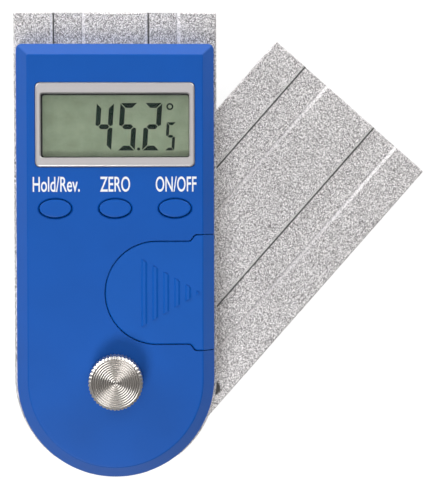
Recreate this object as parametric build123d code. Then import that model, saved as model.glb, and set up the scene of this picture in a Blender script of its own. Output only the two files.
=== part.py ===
"""Digital protractor: two steel blades on one pivot, the upper one under a moulded display housing.

The origin is on the pivot's axis, on the lower blade's back. +Z is towards the display and the knob,
and +Y is along the housing, towards the display's end. The lower blade is turned out to the right.
"""

from build123d import *
import os
from math import atan, cos, degrees, hypot, pi, sin

# Blades, both drawn along +Y from the pivot
BLADE_WIDTH = 50.0
BLADE_THICKNESS = 10.0
BLADE_OVERHANG = 8.2  # square end beyond the housing's top wall
BLADE_EDGE_CHAMFER = 0.3
OUTER_LAND = 9.0  # long edge to the nearer channel
CHANNEL_WIDTH = 8.6  # at the blade's face
CHANNEL_DEPTH = 0.8  # also the width of its 45 degree sides
BLADE_GAP = 0.2  # between the two blades
OPENING_ANGLE = 41.5  # lower blade, clockwise from the upper one

# Housing shell
HOUSING_SET_IN = 0.9  # blade's long edge to the housing's side
HOUSING_HEIGHT = 9.0
HOUSING_WALL = 2.0
BEVEL_WIDTH = 2.9
BEVEL_HEIGHT = 3.9
END_CORNER = 1.5  # radius of the two corners at the display's end
EDGE_FILLET = 0.5
SEAT_CLEARANCE = 0.1  # between pieces that drop into each other

# Places along the housing, from the pivot to the top
PIVOT_TO_CELL = 21.2
CELL_TO_BUTTONS = 20.5
BUTTONS_TO_BEZEL = 10.0
BEZEL_HEIGHT = 20.4
BEZEL_TOP_MARGIN = 6.75

# Display, from the front to the back
BEZEL_SIDE_MARGIN = 1.95
BEZEL_CORNER = 1.2
BEZEL_THICKNESS = 1.4
BEZEL_PROUD = 0.35
BEZEL_ROUND = 0.5  # outer edge of its front
BEZEL_SIDE_BAR = 1.3
BEZEL_TOP_BAR = 2.6
BEZEL_BOTTOM_BAR = 2.3
BEZEL_INNER_CORNER = 0.6
BEZEL_CHAMFER = 0.25  # round the window
BEZEL_LEDGE = 0.8  # housing ledge under the bezel
WINDOW_THICKNESS = 0.75
LCD_GAP = 0.25
LCD_LAP = 0.35  # how far the cell reaches behind the opening's edge
FRONT_GLASS = 0.8
REAR_GLASS = 1.0
CONTACT_LEDGE = 2.6  # front glass beyond the rear glass
HOLDER_WALL = 0.8
HOLDER_LEDGE = 1.5
HOLDER_HOLD = 0.65  # height of the rim round the cell
CONNECTOR_THICKNESS = 1.6
CONNECTOR_END = 3.6  # cell's end to the strip's end

# Buttons
BUTTON_LENGTH = 7.7
BUTTON_WIDTH = 4.4
BUTTON_INSET = 0.95  # bezel's end to the outer button's end
BUTTON_PROUD = 0.25
BUTTON_CLEARANCE = 0.2
BUTTON_FLANGE = 0.65
BUTTON_FLANGE_THICKNESS = 0.7
BUTTON_FILLET = 0.35
BUTTON_SKIRT_WALL = 0.9
BUTTON_HOLLOW = 1.2
BUTTON_TRAVEL = 0.5
BUTTON_RIM_CHAMFER = 0.3
PAD_THICKNESS = 0.8
PAD_BORDER = 1.6

# Coin cell, its tray and its cover
CELL_RADIUS = 10.0
CELL_THICKNESS = 3.2
CELL_CAP_HEIGHT = 0.35
CELL_CAP_STEP = 1.2
CELL_CLEARANCE = 0.3
TRAY_WALL = 1.3
TRAY_FLOOR = 0.6
TRAY_LIFT = 0.3  # board to the tray's floor
COVER_THICKNESS = 1.5
COVER_LAP = 2.14  # cover's edge beyond the cell's pocket
COVER_GAP = 0.2
COVER_CHAMFER = 0.25
COVER_STEP = 1.56  # wide end beyond the straight sides
COVER_STEP_LENGTH = 2.05
COVER_END_LENGTH = 4.25
COVER_SKIRT = 2.34  # thickness of the part that closes the housing's side
COVER_SKIRT_FOOT = 3.4  # side wall left below it
RUNNER_WIDTH = 0.7
RUNNER_THICKNESS = 0.6
LEDGE_THICKNESS = 1.5
GRIP_LENGTH = 14.2
GRIP_HALF_WIDTH = 8.2
GRIP_MARGIN = 3.7  # grip's point to the housing's side
GRIP_PITCH = 2.66
GRIP_RIB_WIDTH = 1.45
GRIP_RIB_HEIGHT = 0.3
GRIP_RIB_SLOPE = 0.45  # width of each of a rib's two sloping sides

# Pivot, from the lower blade up
FLANGE_RADIUS = 14.0
FLANGE_THICKNESS = 3.0
HUB_RADIUS = 7.0
RUNNING_CLEARANCE = 0.04
BUSH_WALL = 2.0
BUSH_FLANGE = 3.0
BUSH_FLANGE_THICKNESS = 1.5
BUSH_LIFT = 0.05  # between the bush and the stud's flange
FIT_CLEARANCE = 0.02
RING_POCKET_DEPTH = 2.3
RING_POCKET_RADIUS = 11.0
SPRING_STRIP = 0.4
SPRING_WIDTH = 2.7
SPRING_RISE = 0.3
RING_THICKNESS = 1.0
RING_WIDTH = 2.4
RING_GROOVE = 0.6
RING_GAP_HALF = 2.4
HUB_LIFT = 0.55  # hub's top above the upper blade's face
ROTOR_THICKNESS = 0.9
ROTOR_CLEARANCE = 0.8
SPIGOT_RADIUS = 4.5
STUD_RADIUS = 2.5
STUD_CHAMFER = 0.4
STUD_END_GAP = 1.5  # stud's end below the knob's face
NUT_ACROSS_FLATS = 7.0
NUT_THICKNESS = 1.4

# Clamp knob and washer
KNOB_DIAMETER = 13.1
KNOB_HEIGHT = 7.0
KNOB_LIFT = 0.2
KNURL_TEETH = 43
KNURL_DEPTH = 0.35
KNOB_CHAMFER = 0.5
KNOB_BORE_MARGIN = 0.4
WASHER_RADIUS = 5.2
WASHER_THICKNESS = 0.8
STUD_CLEARANCE = 0.35

# Circuit board and what is on it
SENSOR_GAP = 0.35
BOARD_THICKNESS = 1.2
BOARD_CLEARANCE = 0.5
BOARD_PIVOT_HOLE = 5.2
CHIP_RADIUS = 4.0
CHIP_HEIGHT = 1.3
CHIP_FROM_EDGE = 9.5
CRYSTAL_RADIUS = 1.0
CRYSTAL_LENGTH = 6.0
CAPACITOR_LENGTH = 2.0
CAPACITOR_WIDTH = 1.25
CAPACITOR_HEIGHT = 0.9
CAPACITOR_COUNT = 3
CAPACITOR_PITCH = 2.6
CONTACT_THICKNESS = 0.2
CONTACT_WIDTH = 2.4
CONTACT_FOOT = 2.2

# Screws and magnets
BOSS_RADIUS = 2.75
BOSS_FROM_SIDE = 5.5  # housing's side to the screw's centre
LOWER_BOSS_Y = 1.0
HOUSING_SCREW_RADIUS = 1.2
HOUSING_SCREW_HEAD_RADIUS = 2.3
HOUSING_SCREW_HEAD = 1.6
HOUSING_SCREW_GRIP = 4.5  # blade left over the counterbore
HOUSING_SCREW_BITE = 5.0
POST_RADIUS = 1.7
POST_CLEARANCE = 0.6  # to the display's holder
BOARD_SCREW_RADIUS = 0.75
BOARD_SCREW_HEAD_RADIUS = 1.4
BOARD_SCREW_HEAD = 0.7
BOARD_SCREW_BITE = 2.3
STUD_SCREW_RADIUS = 1.4
STUD_SCREW_HEAD_RADIUS = 2.8
STUD_SCREW_CIRCLE = 10.0
STUD_SCREW_COUNT = 3
SCREW_END_GAP = 0.5
SCREW_HOLE_CLEARANCE = 0.15
DRIVE_WIDTH = 0.6
MAGNET_RADIUS = 1.8
MAGNET_THICKNESS = 3.0
MAGNET_Y = 12.95
MAGNET_FROM_EDGE = 4.0
MAGNET_CHAMFER = 0.25

# Levels, from the lower blade's back up
LOWER_FACE = BLADE_THICKNESS
UPPER_BACK = LOWER_FACE + BLADE_GAP
UPPER_FACE = UPPER_BACK + BLADE_THICKNESS
FRONT = UPPER_FACE + HOUSING_HEIGHT
FRONT_INSIDE = FRONT - HOUSING_WALL
HUB_TOP = UPPER_FACE + HUB_LIFT
ROTOR_TOP = HUB_TOP + ROTOR_THICKNESS
BOARD_BACK = ROTOR_TOP + SENSOR_GAP
BOARD_FACE = BOARD_BACK + BOARD_THICKNESS
BEZEL_BACK = FRONT + BEZEL_PROUD - BEZEL_THICKNESS
LCD_FACE = BEZEL_BACK - WINDOW_THICKNESS - LCD_GAP
LCD_STEP = LCD_FACE - FRONT_GLASS
LCD_BACK = LCD_STEP - REAR_GLASS
TRAY_BACK = BOARD_FACE + TRAY_LIFT
CELL_BACK = TRAY_BACK + TRAY_FLOOR
COVER_BACK = FRONT - COVER_THICKNESS
LEDGE_FACE = COVER_BACK - SEAT_CLEARANCE
KNOB_BACK = FRONT + KNOB_LIFT
KNOB_FACE = KNOB_BACK + KNOB_HEIGHT
RING_SEAT = UPPER_FACE - RING_POCKET_DEPTH

# Widths and places that follow from the sizes above
HOUSING_HALF = BLADE_WIDTH / 2 - HOUSING_SET_IN
CAVITY_HALF = HOUSING_HALF - HOUSING_WALL
BUTTON_Y = PIVOT_TO_CELL + CELL_TO_BUTTONS
BEZEL_Y = BUTTON_Y + BUTTONS_TO_BEZEL + BEZEL_HEIGHT / 2
HOUSING_REACH = BEZEL_Y + BEZEL_HEIGHT / 2 + BEZEL_TOP_MARGIN + BEVEL_WIDTH
BLADE_REACH = HOUSING_REACH + BLADE_OVERHANG
BEZEL_WIDTH = 2 * (HOUSING_HALF - BEVEL_WIDTH - BEZEL_SIDE_MARGIN)
OPENING_WIDTH = BEZEL_WIDTH - 2 * BEZEL_LEDGE
OPENING_HEIGHT = BEZEL_HEIGHT - 2 * BEZEL_LEDGE
LCD_WIDTH = OPENING_WIDTH + 2 * LCD_LAP
LCD_HEIGHT = OPENING_HEIGHT + 2 * LCD_LAP
BUTTON_PITCH = (BEZEL_WIDTH - BUTTON_LENGTH) / 2 - BUTTON_INSET
POCKET_RADIUS = CELL_RADIUS + CELL_CLEARANCE
COVER_RADIUS = POCKET_RADIUS + COVER_LAP
SKIRT_INSIDE = HOUSING_HALF - COVER_SKIRT
CELL_X = SKIRT_INSIDE - COVER_GAP - TRAY_WALL - POCKET_RADIUS
BOSS_X = HOUSING_HALF - BOSS_FROM_SIDE
BOSS_PLACES = [
    (side * BOSS_X, y) for side in (-1, 1) for y in (LOWER_BOSS_Y, HOUSING_REACH - BOSS_FROM_SIDE)
]
POST_Y = BEZEL_Y - LCD_HEIGHT / 2 - HOLDER_WALL - POST_RADIUS - POST_CLEARANCE
POST_PLACES = [
    (-BOSS_X, POST_Y),
    (BOSS_X, POST_Y),
    (-BOSS_X, PIVOT_TO_CELL - CELL_RADIUS),
    (0, HOUSING_REACH - BOSS_FROM_SIDE),
]
ROTOR_RADIUS = BOSS_X - BOSS_RADIUS - ROTOR_CLEARANCE
BUTTON_PLACES = {
    "button_hold": -BUTTON_PITCH,
    "button_zero": 0,
    "button_power": BUTTON_PITCH,
}


def slab(sketch, low, high):
    """A flat sketch as a solid between two levels."""
    return extrude(Pos(0, 0, low) * sketch, high - low)


def drum(radius, low, high, x=0, y=0):
    """A round solid between two levels."""
    return slab(Pos(x, y) * Circle(radius), low, high)


def block(x_low, x_high, y_low, y_high, low, high):
    """A straight box given by its six faces."""
    centre = Pos((x_low + x_high) / 2, (y_low + y_high) / 2)
    return slab(centre * Rectangle(x_high - x_low, y_high - y_low), low, high)


def turned(*points):
    """A solid of revolution about the pivot's axis from radius and height points."""
    return revolve(make_face(Plane.XZ * Polyline(*points, close=True)), Axis.Z)


def ring(inner, outer, low, high):
    """A flat ring about the pivot's axis."""
    return drum(outer, low, high) - drum(inner, low - 1, high + 1)


def ellipse(length, width, grow=0):
    """A button's outline, grown by a clearance all round."""
    return Ellipse(length / 2 + grow, width / 2 + grow)


def on_lower_blade(shape):
    """Turn a piece drawn along +Y to where the lower blade points."""
    return Rot(0, 0, -OPENING_ANGLE) * shape


def cross_drive(x, y, head, depth, radius):
    """The cross-shaped driver recess in a screw's head, cut upwards from level head."""
    half = DRIVE_WIDTH / 2
    arms = block(-radius, radius, -half, half, head - 1, head + depth)
    arms += block(-half, half, -radius, radius, head - 1, head + depth)
    return Pos(x, y) * arms


def channel(side, face, clearance=0, rise=1):
    """One of the two channels along a blade, or with a clearance the tongue that fills it."""
    outer = BLADE_WIDTH / 2 - OUTER_LAND - clearance
    inner = BLADE_WIDTH / 2 - OUTER_LAND - CHANNEL_WIDTH + clearance
    slope = CHANNEL_DEPTH - clearance
    section = Polyline(
        (side * (inner + slope), face - slope),
        (side * (outer - slope), face - slope),
        (side * (outer + rise), face + rise),
        (side * (inner - rise), face + rise),
        close=True,
    )
    far_end = BLADE_REACH + 1
    profile = Pos(0, far_end, 0) * make_face(Plane.XZ * section)
    return extrude(profile, far_end + BLADE_WIDTH, dir=(0, -1, 0))


def blade_blank(back):
    """A blade with its half-round pivot end, square far end and two channels."""
    plan = Circle(BLADE_WIDTH / 2) + Pos(0, BLADE_REACH / 2) * Rectangle(BLADE_WIDTH, BLADE_REACH)
    face = back + BLADE_THICKNESS
    blank = slab(plan, back, face)
    rims = blank.edges().filter_by(lambda edge: abs(edge.center().Z - back) < BLADE_THICKNESS / 4)
    rims += blank.edges().filter_by(lambda edge: abs(edge.center().Z - face) < BLADE_THICKNESS / 4)
    blank = chamfer(rims, BLADE_EDGE_CHAMFER)
    for side in (-1, 1):
        blank -= channel(side, face)
    return blank


def lower_blade():
    """The blade that turns: it holds the stud's flange, its screws and two magnets."""
    blade = blade_blank(0)
    recess = FLANGE_RADIUS + SEAT_CLEARANCE
    blade -= drum(recess, LOWER_FACE - FLANGE_THICKNESS, LOWER_FACE + 1)
    for place in PolarLocations(STUD_SCREW_CIRCLE, STUD_SCREW_COUNT):
        blade -= place * drum(STUD_SCREW_RADIUS + SCREW_HOLE_CLEARANCE, -1, LOWER_FACE)
        blade -= place * screw_head_cone(SCREW_HOLE_CLEARANCE)
    for side in (-1, 1):
        blade -= magnet_pocket(side)
    return on_lower_blade(blade)


def screw_head_cone(clearance=0):
    """A countersunk head in the lower blade's back, or with a clearance the seat for it."""
    head = STUD_SCREW_HEAD_RADIUS + clearance
    neck = STUD_SCREW_RADIUS + clearance
    sunk = SEAT_CLEARANCE - clearance
    return turned((0, sunk), (head, sunk), (neck, sunk + head - neck), (0, sunk + head - neck))


def magnet_pocket(side):
    """A round pocket in the lower blade's face with a small chamfer at its mouth."""
    radius = MAGNET_RADIUS + SEAT_CLEARANCE
    pocket = turned(
        (0, LOWER_FACE - MAGNET_THICKNESS - SEAT_CLEARANCE),
        (radius, LOWER_FACE - MAGNET_THICKNESS - SEAT_CLEARANCE),
        (radius, LOWER_FACE - MAGNET_CHAMFER),
        (radius + MAGNET_CHAMFER + 1, LOWER_FACE + 1),
        (0, LOWER_FACE + 1),
    )
    return Pos(side * (BLADE_WIDTH / 2 - MAGNET_FROM_EDGE), MAGNET_Y) * pocket


def blade_magnets():
    """Two round magnets, just below the lower blade's face."""
    x = BLADE_WIDTH / 2 - MAGNET_FROM_EDGE
    top = LOWER_FACE - SEAT_CLEARANCE
    bottom = LOWER_FACE - MAGNET_THICKNESS - SEAT_CLEARANCE
    return [on_lower_blade(drum(MAGNET_RADIUS, bottom, top, side * x, MAGNET_Y)) for side in (-1, 1)]


def pivot_stud():
    """Flange, hub with its ring groove, rotor spigot and threaded stud, turned from one bar."""
    groove = HUB_RADIUS - RING_GROOVE
    low, high = ring_groove_levels()
    stud_end = KNOB_FACE - STUD_END_GAP
    stud = turned(
        (0, LOWER_FACE - FLANGE_THICKNESS),
        (FLANGE_RADIUS, LOWER_FACE - FLANGE_THICKNESS),
        (FLANGE_RADIUS, LOWER_FACE),
        (HUB_RADIUS, LOWER_FACE),
        (HUB_RADIUS, low),
        (groove, low),
        (groove, high),
        (HUB_RADIUS, high),
        (HUB_RADIUS, HUB_TOP),
        (SPIGOT_RADIUS, HUB_TOP),
        (SPIGOT_RADIUS, ROTOR_TOP - SEAT_CLEARANCE),
        (STUD_RADIUS, ROTOR_TOP - SEAT_CLEARANCE),
        (STUD_RADIUS, stud_end - STUD_CHAMFER),
        (STUD_RADIUS - STUD_CHAMFER, stud_end),
        (0, stud_end),
    )
    for place in PolarLocations(STUD_SCREW_CIRCLE, STUD_SCREW_COUNT):
        hole = drum(STUD_SCREW_RADIUS + FIT_CLEARANCE, 0, LOWER_FACE - SCREW_END_GAP)
        stud -= place * hole
    return on_lower_blade(stud)


def stud_screws():
    """Countersunk screws from the lower blade's back into the stud's flange."""
    screw = screw_head_cone() + drum(
        STUD_SCREW_RADIUS, SEAT_CLEARANCE, LOWER_FACE - 2 * SCREW_END_GAP
    )
    screw -= cross_drive(0, 0, SEAT_CLEARANCE, STUD_SCREW_RADIUS / 2, STUD_SCREW_RADIUS)
    places = PolarLocations(STUD_SCREW_CIRCLE, STUD_SCREW_COUNT)
    return [on_lower_blade(place * screw) for place in places]


def ring_groove_levels():
    """Bottom and top of the groove that holds the retaining ring."""
    low = RING_SEAT + SPRING_STRIP + SPRING_RISE + FIT_CLEARANCE
    return low, low + RING_THICKNESS + 2 * FIT_CLEARANCE


def disc_spring():
    """Conical spring between the upper blade's counterbore and the retaining ring."""
    inner = HUB_RADIUS + SEAT_CLEARANCE
    outer = inner + SPRING_WIDTH
    bottom = RING_SEAT + FIT_CLEARANCE / 2
    spring = turned(
        (outer, bottom),
        (outer, bottom + SPRING_STRIP),
        (inner, bottom + SPRING_STRIP + SPRING_RISE),
        (inner, bottom + SPRING_RISE),
    )
    return on_lower_blade(spring)


def retaining_ring():
    """Open ring with two eyes, snapped into the hub's groove."""
    inner = HUB_RADIUS - RING_GROOVE + FIT_CLEARANCE
    low = ring_groove_levels()[0] + FIT_CLEARANCE
    high = low + RING_THICKNESS
    eye = RING_WIDTH / 2
    shape = ring(inner, inner + RING_WIDTH, low, high)
    shape -= block(-RING_GAP_HALF, RING_GAP_HALF, 0, HUB_RADIUS * 2, low - 1, high + 1)
    for side in (-1, 1):
        x = side * (RING_GAP_HALF + eye / 2)
        y = (inner + eye) * cos(x / (inner + eye))
        shape += drum(eye, low, high, x, y)
        shape -= drum(eye / 2, low - 1, high + 1, x, y)
    return on_lower_blade(shape)


def rotor_disc():
    """Sensor disc on the hub's spigot, with two notches in its rim."""
    disc = ring(SPIGOT_RADIUS + FIT_CLEARANCE, ROTOR_RADIUS, HUB_TOP, ROTOR_TOP)
    for side in (-1, 1):
        disc -= drum(RING_WIDTH / 2, HUB_TOP - 1, ROTOR_TOP + 1, 0, side * ROTOR_RADIUS)
    return on_lower_blade(disc)


def rotor_nut():
    """Thin hexagon nut on the stud, over the rotor disc."""
    corner = NUT_ACROSS_FLATS / 2 / cos(pi / 6)
    nut = slab(RegularPolygon(corner, 6), ROTOR_TOP, ROTOR_TOP + NUT_THICKNESS)
    nut -= drum(STUD_RADIUS + FIT_CLEARANCE, ROTOR_TOP - 1, ROTOR_TOP + NUT_THICKNESS + 1)
    return on_lower_blade(nut)


def pivot_bush():
    """Flanged bush in the upper blade: the hub turns in it and its flange keeps the blades apart."""
    bore = HUB_RADIUS + RUNNING_CLEARANCE
    outer = bore + BUSH_WALL
    bottom = LOWER_FACE + BUSH_LIFT
    return turned(
        (bore, bottom),
        (outer + BUSH_FLANGE, bottom),
        (outer + BUSH_FLANGE, bottom + BUSH_FLANGE_THICKNESS),
        (outer, bottom + BUSH_FLANGE_THICKNESS),
        (outer, RING_SEAT),
        (bore, RING_SEAT),
    )


def upper_blade():
    """The blade under the housing, bored for the bush and drilled for the housing's screws."""
    blade = blade_blank(UPPER_BACK)
    bush = HUB_RADIUS + RUNNING_CLEARANCE + BUSH_WALL + FIT_CLEARANCE
    blade -= drum(bush, UPPER_BACK - 1, UPPER_FACE + 1)
    blade -= drum(bush + BUSH_FLANGE, UPPER_BACK - 1, LOWER_FACE + BUSH_LIFT + BUSH_FLANGE_THICKNESS)
    blade -= drum(RING_POCKET_RADIUS, RING_SEAT, UPPER_FACE + 1)
    for x, y in BOSS_PLACES:
        blade -= drum(HOUSING_SCREW_RADIUS + SCREW_HOLE_CLEARANCE, UPPER_BACK, UPPER_FACE + 1, x, y)
        head = HOUSING_SCREW_HEAD_RADIUS + SCREW_HOLE_CLEARANCE
        blade -= drum(head, UPPER_BACK - 1, UPPER_FACE - HOUSING_SCREW_GRIP, x, y)
    return blade


def pan_screw(radius, head_radius, head, seat, tip):
    """A pan-head screw pointing up: its head is below level seat and its shank ends at tip."""
    screw = drum(head_radius, seat - head, seat)
    screw = chamfer(screw.edges().sort_by(Axis.Z)[:1], head / 3)
    screw += drum(radius, seat - head / 2, tip)
    return screw - cross_drive(0, 0, seat - head, head / 2, radius)


def housing_screws():
    """Screws from the upper blade's back into the housing's bosses."""
    seat = UPPER_FACE - HOUSING_SCREW_GRIP
    tip = UPPER_FACE + HOUSING_SCREW_BITE
    screw = pan_screw(
        HOUSING_SCREW_RADIUS, HOUSING_SCREW_HEAD_RADIUS, HOUSING_SCREW_HEAD, seat, tip
    )
    return [Pos(x, y) * screw for x, y in BOSS_PLACES]


def board_screws():
    """Small screws that hold the board to the housing's posts."""
    tip = BOARD_FACE + BOARD_SCREW_BITE
    screw = pan_screw(
        BOARD_SCREW_RADIUS, BOARD_SCREW_HEAD_RADIUS, BOARD_SCREW_HEAD, BOARD_BACK, tip
    )
    return [Pos(x, y) * screw for x, y in POST_PLACES]


def housing_plan(half, reach, corner=0):
    """Outline with a half-round end about the pivot and square or rounded corners at the other."""
    plan = Circle(half) + Pos(0, reach / 2) * Rectangle(2 * half, reach)
    return plan & RectangleRounded(2 * half, 2 * reach, corner) if corner else plan


def bevelled_form(half, reach, bevel_width, bevel_height, top):
    """A straight-sided form on the blade's face with a bevel all round its top."""
    plan = housing_plan(half, reach)
    shoulder = top - bevel_height
    form = slab(plan, UPPER_FACE, shoulder)
    slope = degrees(atan(bevel_width / bevel_height))
    form += extrude(Pos(0, 0, shoulder) * plan, bevel_height, taper=slope)
    return form


def housing_outside():
    """The housing's outer form, its two end corners rounded and the bevel's edges softened."""
    form = bevelled_form(HOUSING_HALF, HOUSING_REACH, BEVEL_WIDTH, BEVEL_HEIGHT, FRONT)
    form &= slab(housing_plan(HOUSING_HALF, HOUSING_REACH, END_CORNER), UPPER_FACE, FRONT)
    lowest = FRONT - BEVEL_HEIGHT - FIT_CLEARANCE
    return fillet(form.edges().filter_by(lambda edge: edge.center().Z > lowest), EDGE_FILLET)


def housing_inside():
    """The cavity, with its bevel placed so that the sloping wall is as thick as the others."""
    slant = hypot(BEVEL_WIDTH, BEVEL_HEIGHT)
    width = BEVEL_WIDTH - HOUSING_WALL + HOUSING_WALL * (slant - BEVEL_WIDTH) / BEVEL_HEIGHT
    height = BEVEL_HEIGHT - HOUSING_WALL + HOUSING_WALL * (slant - BEVEL_HEIGHT) / BEVEL_WIDTH
    return bevelled_form(CAVITY_HALF, HOUSING_REACH - HOUSING_WALL, width, height, FRONT_INSIDE)


def rim_tongues():
    """Feet of the end wall that fill the blade's channels below it."""
    inner = HOUSING_REACH - HOUSING_WALL
    wall = block(
        -CAVITY_HALF, CAVITY_HALF, inner, HOUSING_REACH,
        UPPER_FACE - CHANNEL_DEPTH, UPPER_FACE + SEAT_CLEARANCE,
    )
    return [wall & channel(side, UPPER_FACE, SEAT_CLEARANCE, SEAT_CLEARANCE) for side in (-1, 1)]


def cover_outline(grow=0):
    """The battery cover seen from the front: round end, straight sides, a step out to the wide end."""
    radius = COVER_RADIUS + grow
    wide = COVER_RADIUS + COVER_STEP + grow
    step_end = HOUSING_HALF - COVER_END_LENGTH - grow
    step_start = step_end - COVER_STEP_LENGTH - CELL_X
    middle = step_end - COVER_STEP_LENGTH / 2 - CELL_X
    step_end -= CELL_X
    end = HOUSING_HALF + 1 - CELL_X
    outline = CenterArc((0, 0), radius, 90, 180)
    outline += Line((0, -radius), (step_start, -radius))
    outline += Bezier((step_start, -radius), (middle, -radius), (middle, -wide), (step_end, -wide))
    outline += Line((step_end, -wide), (end, -wide))
    outline += Line((end, -wide), (end, wide))
    outline += Line((end, wide), (step_end, wide))
    outline += Bezier((step_end, wide), (middle, wide), (middle, radius), (step_start, radius))
    outline += Line((step_start, radius), (0, radius))
    return Pos(CELL_X, PIVOT_TO_CELL) * make_face(outline)


def side_notch(gap):
    """The part of the housing's side that the cover's skirt closes, grown by a gap."""
    wide = COVER_RADIUS + COVER_STEP + gap
    return block(
        SKIRT_INSIDE - gap, HOUSING_HALF + 1,
        PIVOT_TO_CELL - wide, PIVOT_TO_CELL + wide,
        UPPER_FACE + COVER_SKIRT_FOOT - gap, FRONT + 1,
    )


def runners(gap):
    """The cover's two side tongues, grown by a gap all round."""
    reach = COVER_RADIUS + RUNNER_WIDTH
    low = COVER_BACK - gap
    high = COVER_BACK + RUNNER_THICKNESS + gap
    end = SKIRT_INSIDE if gap else HOUSING_HALF - COVER_END_LENGTH - COVER_STEP_LENGTH
    return block(
        CELL_X - gap, end, PIVOT_TO_CELL - reach - gap, PIVOT_TO_CELL + reach + gap, low, high
    )


def battery_cover():
    """Cover plate with runners, a skirt that closes the housing's side, and raised grip ribs."""
    plate = slab(cover_outline(), COVER_BACK, FRONT)
    plate = chamfer(plate.faces().sort_by(Axis.Z)[-1].edges(), COVER_CHAMFER)
    plate += runners(0)
    plate += side_notch(0)
    cover = plate & housing_outside()
    return cover + grip_ribs()


def grip_ribs():
    """Low ribs across the slide direction, cut to a triangle that points to the housing's side."""
    tip = HOUSING_HALF - GRIP_MARGIN
    base = tip - GRIP_LENGTH
    outline = Polygon((base, -GRIP_HALF_WIDTH), (tip, 0), (base, GRIP_HALF_WIDTH), align=None)
    triangle = slab(Pos(0, PIVOT_TO_CELL) * outline, FRONT - 1, FRONT + 1)
    top = FRONT + GRIP_RIB_HEIGHT
    ribs = []
    start = base
    while start < tip - GRIP_RIB_SLOPE:
        end = start + GRIP_RIB_WIDTH
        section = Polyline(
            (start, FRONT - SEAT_CLEARANCE),
            (start, FRONT),
            (start + GRIP_RIB_SLOPE, top),
            (end - GRIP_RIB_SLOPE, top),
            (end, FRONT),
            (end, FRONT - SEAT_CLEARANCE),
            close=True,
        )
        profile = Pos(0, PIVOT_TO_CELL + GRIP_HALF_WIDTH, 0) * make_face(Plane.XZ * section)
        ribs.append(extrude(profile, 2 * GRIP_HALF_WIDTH, dir=(0, -1, 0)) & triangle)
        start += GRIP_PITCH
    return ribs


def battery_tray():
    """Ledge under the cover and the cup below it, moulded with the housing."""
    ledge = slab(cover_outline(TRAY_WALL), LEDGE_FACE - LEDGE_THICKNESS, FRONT_INSIDE)
    ledge -= block(
        SKIRT_INSIDE - COVER_GAP, HOUSING_HALF + 2,
        -BLADE_REACH, BLADE_REACH, UPPER_FACE, FRONT,
    )
    cup = drum(POCKET_RADIUS + TRAY_WALL, TRAY_BACK, FRONT_INSIDE, CELL_X, PIVOT_TO_CELL)
    return ledge + cup


def tray_hollow():
    """Room for the cover and the cell, with slots for the two contacts."""
    hollow = slab(cover_outline(COVER_GAP), LEDGE_FACE, FRONT + 1)
    hollow += drum(POCKET_RADIUS, CELL_BACK, FRONT, CELL_X, PIVOT_TO_CELL)
    hollow += runners(SEAT_CLEARANCE)
    hollow += side_notch(COVER_GAP)
    slot = CONTACT_WIDTH / 2 + SEAT_CLEARANCE
    foot = CONTACT_FOOT + 2 * SEAT_CLEARANCE
    hollow += block(
        CELL_X - foot, CELL_X + foot, PIVOT_TO_CELL - slot, PIVOT_TO_CELL + slot,
        TRAY_BACK - 1, CELL_BACK + 1,
    )
    hollow += block(
        CELL_X - POCKET_RADIUS - TRAY_WALL - 1, CELL_X - CELL_RADIUS + SEAT_CLEARANCE,
        PIVOT_TO_CELL - slot, PIVOT_TO_CELL + slot,
        TRAY_BACK - 1, CELL_BACK + CELL_THICKNESS - SEAT_CLEARANCE,
    )
    return hollow


def front_housing():
    """Moulded shell: walls, bosses, posts, battery tray and the openings in its front."""
    solid_parts = battery_tray()
    for x, y in BOSS_PLACES:
        solid_parts += drum(BOSS_RADIUS, UPPER_FACE, FRONT_INSIDE + SEAT_CLEARANCE, x, y)
    for x, y in POST_PLACES:
        solid_parts += drum(POST_RADIUS, BOARD_FACE, FRONT_INSIDE + SEAT_CLEARANCE, x, y)
    solid_parts += drum(WASHER_RADIUS + HOUSING_WALL, FRONT_INSIDE - WASHER_THICKNESS, FRONT)
    outside = housing_outside()
    shell = outside - housing_inside()
    shell += solid_parts & outside
    shell += rim_tongues()
    shell -= tray_hollow()
    for x, y in BOSS_PLACES:
        tip = UPPER_FACE + HOUSING_SCREW_BITE + SCREW_END_GAP
        shell -= drum(HOUSING_SCREW_RADIUS + FIT_CLEARANCE, UPPER_FACE - 1, tip, x, y)
    for x, y in POST_PLACES:
        tip = BOARD_FACE + BOARD_SCREW_BITE + SCREW_END_GAP
        shell -= drum(BOARD_SCREW_RADIUS + FIT_CLEARANCE, BOARD_FACE - 1, tip, x, y)
    shell -= drum(STUD_RADIUS + STUD_CLEARANCE, UPPER_FACE, FRONT + 1)
    seat = KNOB_BACK - WASHER_THICKNESS
    shell -= drum(WASHER_RADIUS + SEAT_CLEARANCE, seat, FRONT + 1)
    shell -= display_opening()
    for x in BUTTON_PLACES.values():
        shell -= Pos(x, BUTTON_Y) * button_hole()
    return shell


def display_opening():
    """Through opening for the lens, with a ledge round it for the bezel."""
    recess = RectangleRounded(
        BEZEL_WIDTH + 2 * SEAT_CLEARANCE, BEZEL_HEIGHT + 2 * SEAT_CLEARANCE, BEZEL_CORNER
    )
    through = Rectangle(OPENING_WIDTH, OPENING_HEIGHT)
    opening = slab(recess, BEZEL_BACK, FRONT + 1)
    opening += slab(through, FRONT_INSIDE - 1, BEZEL_BACK + 1)
    return Pos(0, BEZEL_Y) * opening


def button_hole():
    """Oval hole through the front with a chamfered rim."""
    outline = ellipse(BUTTON_LENGTH, BUTTON_WIDTH, BUTTON_CLEARANCE)
    hole = slab(outline, FRONT_INSIDE - 1, FRONT)
    rim = Pos(0, 0, FRONT - BUTTON_RIM_CHAMFER) * outline
    return hole + extrude(rim, BUTTON_RIM_CHAMFER * 2, taper=-45)


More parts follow.
